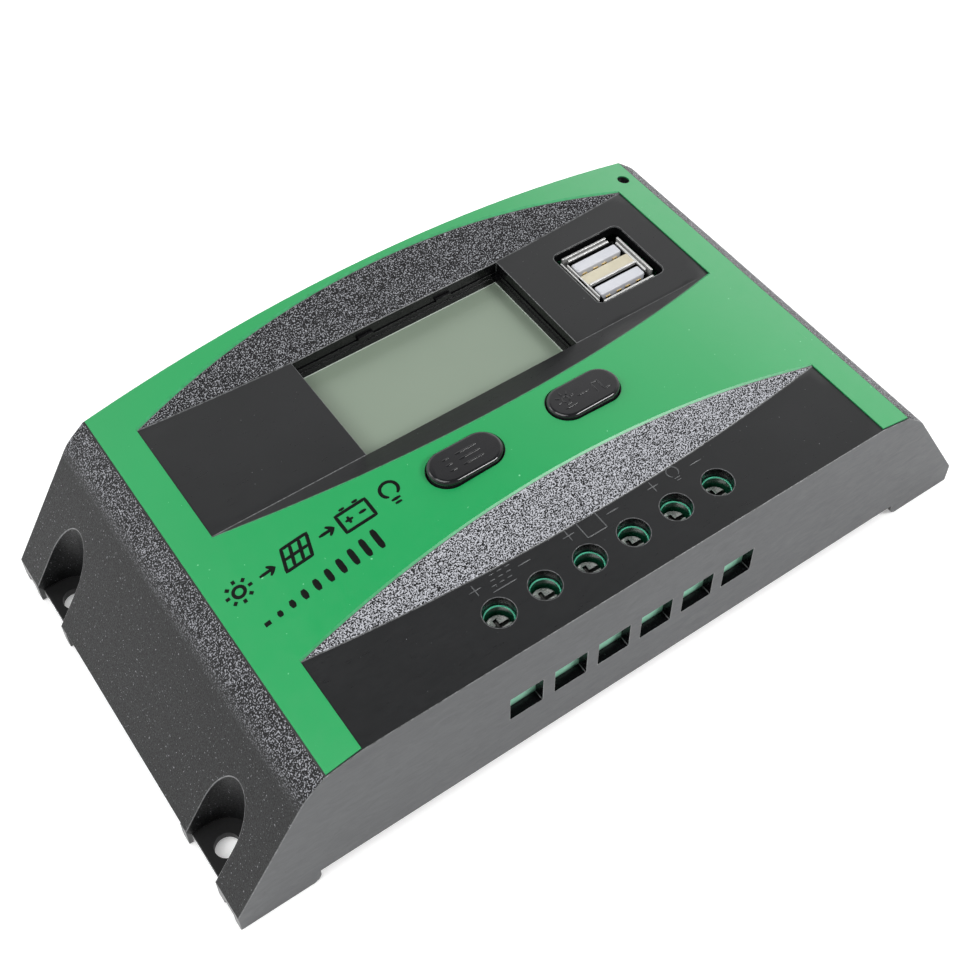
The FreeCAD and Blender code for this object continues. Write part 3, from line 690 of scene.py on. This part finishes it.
def socket_core():
    """Black insulator inside the can, painted near-black as shade, so that nothing bright shows
    beside the tongues.
    """
    lo, hi = (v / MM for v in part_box("usb_shell"))
    bm = bmesh.new()
    add_frame(bm, lo.x + 1.2, hi.x - 1.2, lo.y + 0.4, hi.y - 1.2,
              [(0, lo.z + 0.4), (0, hi.z - 0.5), (0.25, hi.z - 0.5), (0.25, lo.z + 0.4)])
    add_box(bm, lo.x + 1.5, hi.x - 1.5, lo.y + 0.7, hi.y - 1.5, lo.z + 0.4, lo.z + 0.9)
    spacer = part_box("usb_spacer")[0].y / MM
    add_box(bm, lo.x + 1.5, hi.x - 1.5, spacer - 0.3, spacer - 0.05, lo.z + 0.9, hi.z - 0.8)
    finished("socket_core", bm, "void", "housing", 0.05)


CORNER_IN = 1.05       # from the sides of the socket well to the middle of its corner arcs


def rim_section(top, inner, crest, outer):
    """Closed (radius, height) section of a rim that stands just proud of the panel."""
    low, shoulder, high = top - 0.25, top - 0.09, top + 0.02
    return [(inner, low), (inner, shoulder), (crest, high), (outer, high), (outer, low)]


def hole_rims():
    """Polished rims of the six screw holes and the socket opening in the cover, in the pale edge
    look: painted highlight lines.
    """
    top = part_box("top_cover")[0].z / MM + PANEL_Z
    bm = bmesh.new()
    for k in range(1, 7):
        add_tube(bm, *screw_middle(k), rim_section(top, 2.66, 2.75, 2.85))
    x0, y0, _, x1, y1, _ = opening("socket_well")
    x0, x1, y0, y1 = x0 + CORNER_IN, x1 - CORNER_IN, y0 + CORNER_IN, y1 - CORNER_IN
    arcs = ((x1, y1, 0), (x0, y1, 90), (x0, y0, 180), (x1, y0, 270))
    join_rings(bm, [[bm.verts.new((*p, z)) for x, y, start in arcs
                     for p in ring(x, y, r, 6, start, 90)]
                    for r, z in rim_section(top, 1.29, 1.39, 1.49)])
    finished("hole_rims", bm, "edge", "housing", 0.03)


def screw_collars():
    """Raised green lips of the six screw bores, in the pale rim green: painted highlight."""
    low, step, high = BLOCK_TOP - 0.05, BLOCK_TOP + 0.02, BLOCK_TOP + 0.2
    bm = bmesh.new()
    for k in range(1, 7):
        add_tube(bm, *screw_middle(k), [(2.34, low), (2.34, high), (2.50, high), (2.50, step),
                                        (2.47, step), (2.47, low)])
    finished("screw_collars", bm, "terminal_rim_highlight", "housing", 0.07, 2)


display_bezel()
glass_edge()
socket_can()
socket_tongues()
socket_core()
screw_collars()
hole_rims()


# ---- raised pictograms and print ------------------------------------------------------
def flat_surface(z):
    return lambda x, y: z


film_top, film_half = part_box("face_film")[1].z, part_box("face_film")[1].x
film_rise = film_top - max(v.co.z for v in nodes["face_film"].data.vertices
                           if v.co.x > film_half - 1e-5)
film_radius = (film_half ** 2 + film_rise ** 2) / (2 * film_rise)


def film_surface(x, y):
    """Top of the printed film over the crown."""
    return film_top - film_radius + math.sqrt(film_radius ** 2 - x * x)


def resample(points, step=0.4):
    """The same path with points no further apart than `step`."""
    out = []
    for a, b in zip(points, points[1:]):
        length = math.dist(a, b)
        n = max(1, math.ceil(length / step))
        out += [(a[0] + (b[0] - a[0]) * k / n, a[1] + (b[1] - a[1]) * k / n) for k in range(n)]
    return out + [points[-1]]


def strokes(name, paths, width, height, surface, look, body):
    """Rounded ridges that follow paths given in millimetres, lying on a surface."""
    curve = bpy.data.curves.new(name, "CURVE")
    curve.dimensions = "3D"
    curve.bevel_depth = width / 2 * MM
    curve.bevel_resolution = 2
    curve.use_fill_caps = True
    for path in paths:
        pts = resample(path)
        closed = math.dist(pts[0], pts[-1]) < 1e-6
        if closed:
            pts = pts[:-1]
        spline = curve.splines.new("POLY")
        spline.use_cyclic_u = closed
        caps = [] if closed else [0.55, 0.85]
        radii = caps + [1.0] * (len(pts) - 2 * len(caps)) + caps[::-1]
        if len(radii) != len(pts):
            radii = [1.0] * len(pts)
        spline.points.add(len(pts) - 1)
        for point, (x, y), radius in zip(spline.points, pts, radii):
            point.co = (x * MM, y * MM, 0, 1)
            point.radius = radius
    maker = bpy.data.objects.new(name + "_maker", curve)
    scene.collection.objects.link(maker)
    mesh = bpy.data.meshes.new_from_object(maker.evaluated_get(
        bpy.context.evaluated_depsgraph_get()))
    bpy.data.objects.remove(maker)
    squash = height / (width / 2)
    for v in mesh.vertices:
        v.co.z = surface(v.co.x, v.co.y) + v.co.z * squash
    mesh.materials.clear()
    mesh.materials.append(M[look])
    mesh.shade_smooth()
    piece = bpy.data.objects.new(name, mesh)
    scene.collection.objects.link(piece)
    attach(piece, body)
    return piece


def line(x0, y0, x1, y1):
    return [(x0, y0), (x1, y1)]


def plus(x, y, r):
    return [line(x - r, y, x + r, y), line(x, y - r, x, y + r)]


def rays(x, y, r0, r1, angles):
    return [line(x + r0 * math.cos(math.radians(a)), y + r0 * math.sin(math.radians(a)),
                 x + r1 * math.cos(math.radians(a)), y + r1 * math.sin(math.radians(a)))
            for a in angles]


PANEL_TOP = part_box("top_cover")[0].z + PANEL_Z * MM
BUTTON_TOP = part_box("button_menu")[1].z

marks = plus(-22.7, -26.8, 1.1) + [line(-14.7, -26.9, -12.3, -26.9)]
for k in range(5):
    y, shift = -28.65 + 0.96 * k, 0.39 * k
    if k == 0:
        marks.append(line(-20.6, y, -16.2, y))
    else:
        marks += [line(-20.6 + shift + 1.5 * j, y, -19.7 + shift + 1.5 * j, y) for j in range(3)]
marks += plus(-4.8, -26.75, 1.1) + [line(2.6, -26.9, 5.0, -26.9)]
marks.append([(-2.47, -28.85), (1.27, -28.85), (1.27, -25.5), (-2.47, -25.5), (-2.47, -28.85)])
marks += plus(12.1, -26.85, 1.1) + [line(19.8, -26.9, 22.2, -26.9)]
marks.append(ring(16.6, -26.3, 1.05, 16, -60, 300))
marks += [line(16.05, -27.6, 17.15, -27.6), line(16.15, -28.1, 17.05, -28.1)]
# The marks take the paler raised-mark look: painted highlight.
strokes("terminal_marks", marks, 0.24, 0.14, flat_surface(PANEL_TOP), "mark", "housing")

menu_icon = []
for k, y in enumerate((-7.1, -8.3, -9.55)):
    menu_icon += [line(-15.4, y, -14.1, y), line(-12.9, y, -8.95, y)]
strokes("menu_icon", menu_icon, 0.42, 0.13, flat_surface(BUTTON_TOP), "button",
        "button_menu_body")

load_icon = [ring(8.45, -8.0, 0.62, 14, -60, 300)]
load_icon += rays(8.45, -8.0, 1.05, 1.75, (10, 55, 100, 145, 190))
load_icon += [line(8.05, -9.05, 8.85, -9.05), line(7.2, -9.7, 9.7, -9.7)]
load_icon.append(line(10.5, -8.5, 12.9, -8.5))
load_icon.append([(13.85, -9.6), (13.85, -7.6), (15.1, -7.6), (15.1, -9.6)])
load_icon.append(line(15.1, -9.7, 16.5, -9.7))
strokes("load_icon", load_icon, 0.32, 0.13, flat_surface(BUTTON_TOP), "button",
        "button_load_body")


def arrow(x, y):
    return [line(x - 1.3, y, x + 1.3, y), [(x + 0.3, y + 0.95), (x + 1.3, y), (x + 0.3, y - 0.95)]]


# Generic print: sun, panel, battery and lamp over a charge scale.
print_marks = [ring(-52.4, -6.2, 0.95, 18)]
print_marks += rays(-52.4, -6.2, 1.65, 2.35, range(0, 360, 45))
print_marks += arrow(-47.4, -6.2)
print_marks.append([(-44.9, -8.2), (-40.3, -8.2), (-39.1, -4.2), (-43.7, -4.2), (-44.9, -8.2)])
print_marks += [line(-43.4, -8.2, -42.2, -4.2), line(-41.8, -8.2, -40.6, -4.2),
                line(-44.3, -6.2, -39.7, -6.2)]
print_marks += arrow(-36.6, -6.2)
print_marks.append([(-34.0, -8.3), (-28.6, -8.3), (-28.6, -4.7), (-34.0, -4.7), (-34.0, -8.3)])
print_marks += [line(-33.0, -4.1, -32.0, -4.1), line(-30.6, -4.1, -29.6, -4.1)]
print_marks += plus(-32.5, -6.5, 0.7) + [line(-30.7, -6.5, -29.4, -6.5)]
print_marks.append(ring(-24.6, -5.7, 1.5, 22, -60, 300))
print_marks += [line(-25.4, -7.8, -23.8, -7.8), line(-25.2, -8.6, -24.0, -8.6)]
strokes("film_print", print_marks, 0.60, 0.02, film_surface, "ink", "housing")

scale_marks = [line(-51.6 + 2.3 * k, -14.2, -51.6 + 2.3 * k, -13.4 + 0.35 * k) for k in range(10)]
strokes("charge_scale", scale_marks, 1.05, 0.02, film_surface, "ink", "housing")


# ---- floor, light and camera ----------------------------------------------------------
def make_floor():
    """A plain pale floor just under the feet."""
    mesh = bpy.data.meshes.new("floor")
    half = 3.0
    mesh.from_pydata([(-half, -half, 0), (half, -half, 0), (half, half, 0), (-half, half, 0)], [],
                     [(0, 1, 2, 3)])
    floor = bpy.data.objects.new("floor", mesh)
    floor.location.z = -0.0002
    scene.collection.objects.link(floor)
    look = Shader("floor_white", (0.94, 0.94, 0.94), 0.8, Specular_IOR_Level=0.1)
    look.colour(look.blend(look.noise(0.01, 2, 0.5), (0.93, 0.93, 0.93), (0.95, 0.95, 0.95)))
    look.set("Emission Color", (1.0, 1.0, 1.0, 1.0))
    look.set("Emission Strength", 0.30)
    mesh.materials.append(look.mat)


def make_world():
    """A white room that is brighter low down and behind the object."""
    world = bpy.data.worlds.new("studio")
    scene.world = world
    world.use_nodes = True
    tree = world.node_tree
    back = tree.nodes["Background"]
    back.inputs["Color"].default_value = (1.0, 1.0, 1.0, 1.0)
    coord = tree.nodes.new("ShaderNodeTexCoord")
    split = tree.nodes.new("ShaderNodeSeparateXYZ")
    tree.links.new(coord.outputs["Generated"], split.inputs[0])
    product = tree.nodes.new("ShaderNodeMath")
    product.operation = "MULTIPLY"
    fades = (("Z", 0.70, 0.86, 1.05, 0.06), ("Y", -0.45, 0.25, 0.20, 1.0))
    for socket, (axis, *limits) in zip(product.inputs, fades):
        span = tree.nodes.new("ShaderNodeMapRange")
        span.interpolation_type = "SMOOTHSTEP"
        for name, value in zip(("From Min", "From Max", "To Min", "To Max"), limits):
            span.inputs[name].default_value = value
        tree.links.new(split.outputs[axis], span.inputs["Value"])
        tree.links.new(span.outputs["Result"], socket)
    tree.links.new(product.outputs[0], back.inputs["Strength"])


def area_light(name, azimuth, elevation, distance, size, power, target=(0, 0, 0.02)):
    """Soft box; azimuth from +X towards +Y, in degrees."""
    a, e = math.radians(azimuth), math.radians(elevation)
    away = Vector((math.cos(a) * math.cos(e), math.sin(a) * math.cos(e), math.sin(e)))
    data = bpy.data.lights.new(name, "AREA")
    data.shape = "RECTANGLE"
    data.size, data.size_y = size
    data.energy = power
    lamp = bpy.data.objects.new(name, data)
    lamp.location = Vector(target) + away * distance
    lamp.rotation_mode = "QUATERNION"
    lamp.rotation_quaternion = (-away).to_track_quat("-Z", "Y")
    scene.collection.objects.link(lamp)


def make_camera():
    """A square picture from the front left, with the small shift that its framing needs."""
    data = bpy.data.cameras.new("camera")
    data.sensor_fit = "HORIZONTAL"
    data.sensor_width = 36.0
    data.lens = 57.5550468
    data.shift_y = -0.0837669
    data.clip_start, data.clip_end = 0.01, 20
    cam = bpy.data.objects.new("camera", data)
    cam.location = (-0.0948221, -0.1345343, 0.2300235)
    cam.rotation_euler = Euler([math.radians(v) for v in (40.2382, 0.3519, -34.7166)])
    scene.collection.objects.link(cam)
    scene.camera = cam


make_floor()
make_world()
area_light("front_box", -53, 43, 0.9, (0.36, 0.22), 5.0)
area_light("key_box", -165, 62, 0.50, (0.35, 0.35), 1.5, (-0.03, 0, 0.02))
area_light("side_box", 32, 22, 0.9, (0.5, 0.3), 0.4)
area_light("back_box", 138, 35, 0.9, (0.3, 0.3), 0.9)
make_camera()
scene.view_settings.view_transform = "Standard"
